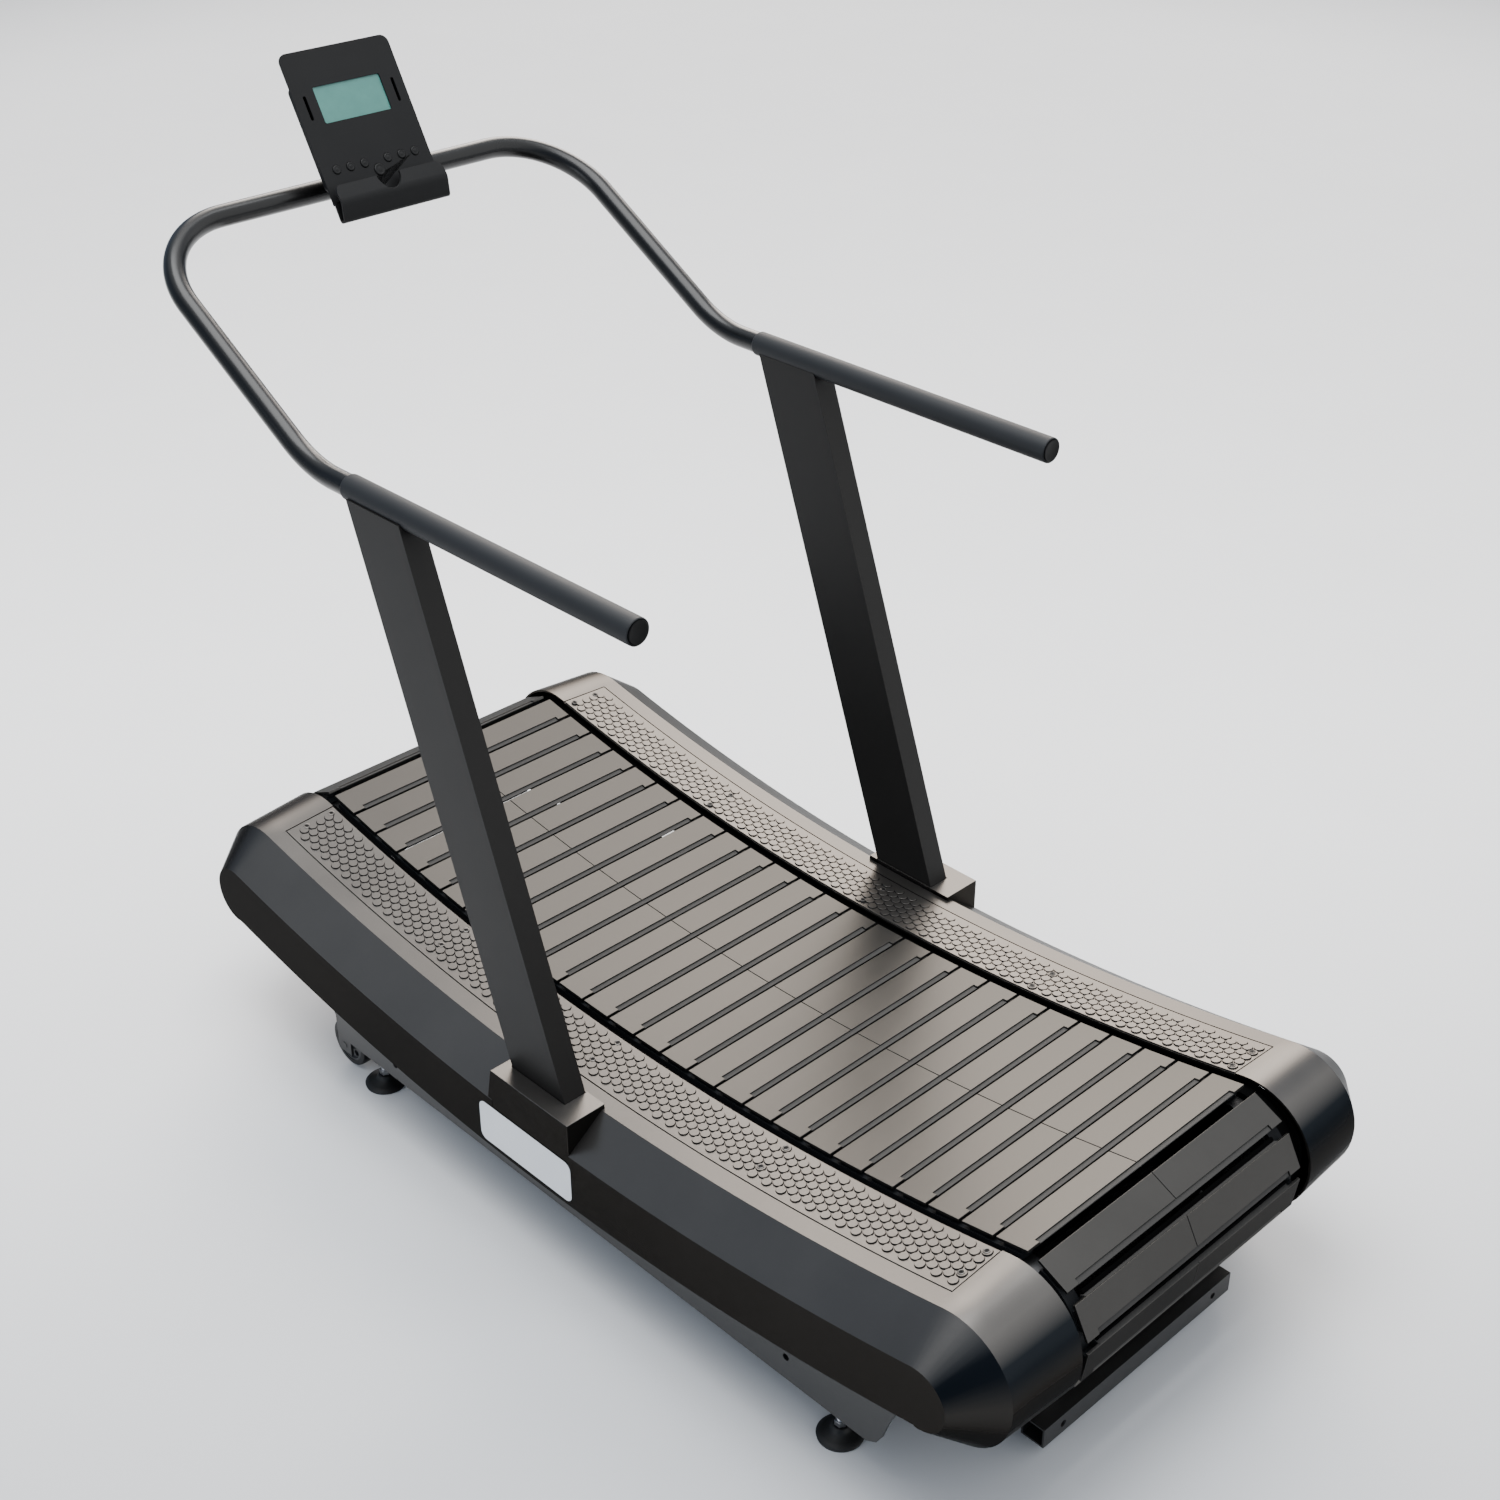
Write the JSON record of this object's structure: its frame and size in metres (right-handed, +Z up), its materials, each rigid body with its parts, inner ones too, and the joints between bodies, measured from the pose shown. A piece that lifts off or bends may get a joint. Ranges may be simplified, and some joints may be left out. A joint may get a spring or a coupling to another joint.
{
  "type": "curved manual treadmill",
  "caption": "Motorless curved treadmill: slatted running belt over two rollers, dark side covers with grip pads, leaning uprights, bent handrail and tilted console.",
  "frame": {"origin": "on the floor, under the middle of the overall length and width", "axes": "+X to the user's right, +Y forward to the console, +Z up"},
  "size_m": [0.9088, 1.8146, 1.584],
  "materials": {
    "frame_black": "satin powder coat",
    "cover_grey": "satin dark metallic grey",
    "pad_grey": "moulded with low round bumps",
    "slat_grey": "dark satin",
    "tube_black": "semi-gloss black",
    "grip_rubber": "matte foam-like",
    "cap_black": "satin",
    "panel_black": "fine matte",
    "lcd_teal": "unlit display window",
    "label_pale": "blank plate",
    "bright_steel": "turned",
    "foot_rubber": "moulded",
    "rail_steel": "plated"
  },
  "bodies": {
    "base_frame": {"base_rail_left": "frame_black", "base_rail_right": "frame_black", "bearing_front_left": "frame_black", "bearing_front_right": "frame_black", "bearing_rear_left": "frame_black", "bearing_rear_right": "frame_black", "belt_rail_left": "rail_steel", "belt_rail_right": "rail_steel", "console_bracket": "frame_black", "console_face": "panel_black", "console_housing": "panel_black", "console_screen": "lcd_teal", "cross_tube_front": "frame_black", "cross_tube_mid": "frame_black", "cross_tube_rear": "frame_black", "frame_plate_left": "frame_black", "frame_plate_right": "frame_black", "grip_cap_left": "cap_black", "grip_cap_right": "cap_black", "grip_left": "grip_rubber", "grip_right": "grip_rubber", "handrail": "tube_black", "name_plate_left": "label_pale", "name_plate_right": "label_pale", "rear_bar": "frame_black", "side_cover_left": "cover_grey", "side_cover_right": "cover_grey", "step_pad_left": "pad_grey", "step_pad_right": "pad_grey", "upright_left": "frame_black", "upright_right": "frame_black", "upright_shoe_left": "cover_grey", "upright_shoe_right": "cover_grey", "wheel_bracket_left": "frame_black", "wheel_bracket_right": "frame_black"},
    "belt_deck_run": {"belt_top": "slat_grey"},
    "rear_roller_set": {"roller_rear": "bright_steel", "belt_rear_wrap": "slat_grey"},
    "front_roller_set": {"roller_front": "bright_steel", "belt_front_wrap": "slat_grey"},
    "belt_return_run": {"belt_return": "slat_grey"},
    "wheel_left": {"transport_wheel_left": "foot_rubber"},
    "wheel_right": {"transport_wheel_right": "foot_rubber"},
    "foot_front_left": {"foot_front_left": "foot_rubber"},
    "foot_front_right": {"foot_front_right": "foot_rubber"},
    "foot_rear_left": {"foot_rear_left": "foot_rubber"},
    "foot_rear_right": {"foot_rear_right": "foot_rubber"},
    "button_1": {"key_1": "cap_black"},
    "button_2": {"key_2": "cap_black"},
    "button_3": {"key_3": "cap_black"},
    "button_4": {"key_4": "cap_black"},
    "button_5": {"key_5": "cap_black"},
    "button_6": {"key_6": "cap_black"},
    "button_centre": {"key_centre": "cap_black"}
  },
  "joints": [
    {"name": "belt_run", "type": "hinge", "parent": "base_frame", "child": "belt_deck_run", "pos_m": [0, -0.01731, 3.915], "axis": [1, 0, 0], "range_deg": [-0.4724, 0.4724]},
    {"name": "rear_roller_turn", "type": "hinge", "parent": "base_frame", "child": "rear_roller_set", "pos_m": [0, -0.78631, 0.2613], "axis": [1, 0, 0], "range_deg": [-18.1, 18.1]},
    {"name": "front_roller_turn", "type": "hinge", "parent": "base_frame", "child": "front_roller_set", "pos_m": [0, 0.75169, 0.2613], "axis": [1, 0, 0], "range_deg": [-18.1, 18.1]},
    {"name": "belt_return_travel", "type": "slide", "parent": "base_frame", "child": "belt_return_run", "axis": [0, 1, 0], "range_m": [-0.0302, 0.0302]},
    {"name": "wheel_turn_left", "type": "hinge", "parent": "base_frame", "child": "wheel_left", "pos_m": [-0.388, 0.54169, 0.0475], "axis": [1, 0, 0], "continuous": true},
    {"name": "wheel_turn_right", "type": "hinge", "parent": "base_frame", "child": "wheel_right", "pos_m": [0.388, 0.54169, 0.0475], "axis": [1, 0, 0], "continuous": true},
    {"name": "foot_height_front_left", "type": "slide", "parent": "base_frame", "child": "foot_front_left", "axis": [0, 0, 1], "range_m": [-0.008, 0.012]},
    {"name": "foot_height_front_right", "type": "slide", "parent": "base_frame", "child": "foot_front_right", "axis": [0, 0, 1], "range_m": [-0.008, 0.012]},
    {"name": "foot_height_rear_left", "type": "slide", "parent": "base_frame", "child": "foot_rear_left", "axis": [0, 0, 1], "range_m": [-0.008, 0.012]},
    {"name": "foot_height_rear_right", "type": "slide", "parent": "base_frame", "child": "foot_rear_right", "axis": [0, 0, 1], "range_m": [-0.008, 0.012]},
    {"name": "press_1", "type": "slide", "parent": "base_frame", "child": "button_1", "axis": [0, 0.8695, -0.4939], "range_m": [0, 0.0015], "stiffness_N_per_m": 600, "springref_m": -0.001},
    {"name": "press_2", "type": "slide", "parent": "base_frame", "child": "button_2", "axis": [0, 0.8695, -0.4939], "range_m": [0, 0.0015], "stiffness_N_per_m": 600, "springref_m": -0.001},
    {"name": "press_3", "type": "slide", "parent": "base_frame", "child": "button_3", "axis": [0, 0.8695, -0.4939], "range_m": [0, 0.0015], "stiffness_N_per_m": 600, "springref_m": -0.001},
    {"name": "press_4", "type": "slide", "parent": "base_frame", "child": "button_4", "axis": [0, 0.8695, -0.4939], "range_m": [0, 0.0015], "stiffness_N_per_m": 600, "springref_m": -0.001},
    {"name": "press_5", "type": "slide", "parent": "base_frame", "child": "button_5", "axis": [0, 0.8695, -0.4939], "range_m": [0, 0.0015], "stiffness_N_per_m": 600, "springref_m": -0.001},
    {"name": "press_6", "type": "slide", "parent": "base_frame", "child": "button_6", "axis": [0, 0.8695, -0.4939], "range_m": [0, 0.0015], "stiffness_N_per_m": 600, "springref_m": -0.001},
    {"name": "press_centre", "type": "slide", "parent": "base_frame", "child": "button_centre", "axis": [0, 0.8695, -0.4939], "range_m": [0, 0.0015], "stiffness_N_per_m": 600, "springref_m": -0.001}
  ],
  "couplings": [
    {"joint": "rear_roller_turn", "follows": "belt_run", "ratio": -38.099},
    {"joint": "front_roller_turn", "follows": "belt_run", "ratio": -38.099},
    {"joint": "belt_return_travel", "follows": "belt_run", "m_per_rad": -3.6385}
  ]
}
